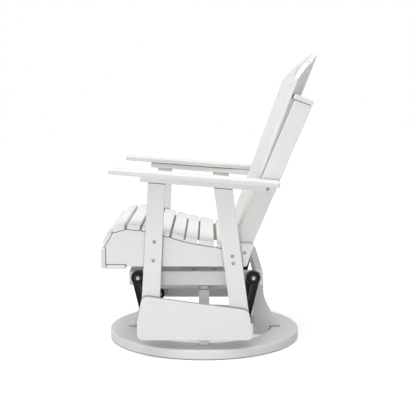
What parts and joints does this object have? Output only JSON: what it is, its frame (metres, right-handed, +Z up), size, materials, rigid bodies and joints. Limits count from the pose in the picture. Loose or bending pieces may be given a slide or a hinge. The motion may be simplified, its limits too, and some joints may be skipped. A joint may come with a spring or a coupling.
{
  "type": "adirondack swivel glider",
  "caption": "Fan-back slatted garden armchair that glides on four hanging links and swivels on a pedestal with a round ground ring.",
  "frame": {"origin": "on the floor, under the middle of the outline", "axes": "+Z up; the sitter faces -Y, so the sitter's left arm is at +X"},
  "size_m": [0.856, 0.8229, 1.1338],
  "materials": {
    "white_lumber": "satin embossed white poly lumber",
    "black_plastic": "moulded black plastic, fine texture",
    "bright_steel": "bright zinc-plated steel"
  },
  "bodies": {
    "base": {"ground_ring": "white_lumber", "pedestal_leg_front": "white_lumber", "pedestal_leg_rear": "white_lumber", "pedestal_leg_left": "white_lumber", "pedestal_leg_right": "white_lumber", "pedestal_rail_long": "white_lumber", "pedestal_rail_cross": "white_lumber", "swivel_lower_plate": "bright_steel"},
    "underframe": {"swivel_upper_plate": "bright_steel", "underframe_rail_left": "white_lumber", "underframe_rail_right": "white_lumber", "underframe_front_board": "white_lumber", "underframe_rear_board": "white_lumber", "underframe_swivel_board_front": "white_lumber", "underframe_swivel_board_rear": "white_lumber", "front_upper_bolt_left": "bright_steel", "front_upper_bolt_right": "bright_steel", "rear_upper_bolt_left": "bright_steel", "rear_upper_bolt_right": "bright_steel"},
    "front_links": {"front_link_left": "black_plastic", "front_link_right": "black_plastic"},
    "rear_links": {"rear_link_left": "black_plastic", "rear_link_right": "black_plastic"},
    "chair": {"front_lower_bolt_left": "bright_steel", "front_lower_bolt_right": "bright_steel", "rear_lower_bolt_left": "bright_steel", "rear_lower_bolt_right": "bright_steel", "front_leg_left": "white_lumber", "front_leg_right": "white_lumber", "rear_leg_left": "white_lumber", "rear_leg_right": "white_lumber", "skirt_left": "white_lumber", "skirt_right": "white_lumber", "seat_side_left": "white_lumber", "seat_side_right": "white_lumber", "arm_left": "white_lumber", "arm_right": "white_lumber", "arm_rail_left": "white_lumber", "arm_rail_right": "white_lumber", "back_post_left": "white_lumber", "back_post_right": "white_lumber", "seat_slat_1": "white_lumber", "seat_slat_2": "white_lumber", "seat_slat_3": "white_lumber", "seat_slat_4": "white_lumber", "seat_slat_5": "white_lumber", "seat_slat_6": "white_lumber", "seat_slat_7": "white_lumber", "seat_slat_8": "white_lumber", "seat_slat_9": "white_lumber", "apron": "white_lumber", "front_under_board": "white_lumber", "back_cap": "white_lumber", "back_mid_rail": "white_lumber", "back_low_rail": "white_lumber", "back_slat_1": "white_lumber", "back_slat_2": "white_lumber", "back_slat_3": "white_lumber", "back_slat_4": "white_lumber", "back_slat_5": "white_lumber"}
  },
  "joints": [
    {"name": "swivel", "type": "hinge", "parent": "base", "child": "underframe", "pos_m": [0, -0.02999, 0.246], "axis": [0, 0, 1], "continuous": true},
    {"name": "front_link_swing", "type": "hinge", "parent": "underframe", "child": "front_links", "pos_m": [0, -0.27498, 0.2968], "axis": [1, 0, 0], "range_deg": [-12, 12]},
    {"name": "rear_link_swing", "type": "hinge", "parent": "underframe", "child": "rear_links", "pos_m": [0, 0.15402, 0.2968], "axis": [1, 0, 0], "range_deg": [-12, 12]},
    {"name": "chair_tilt", "type": "hinge", "parent": "front_links", "child": "chair", "pos_m": [0, -0.22998, 0.103], "axis": [1, 0, 0], "range_deg": [-15.2, 15.2]}
  ],
  "couplings": [
    {"joint": "rear_link_swing", "follows": "front_link_swing", "ratio": 1},
    {"joint": "chair_tilt", "follows": "front_link_swing", "ratio": -1.2618}
  ]
}
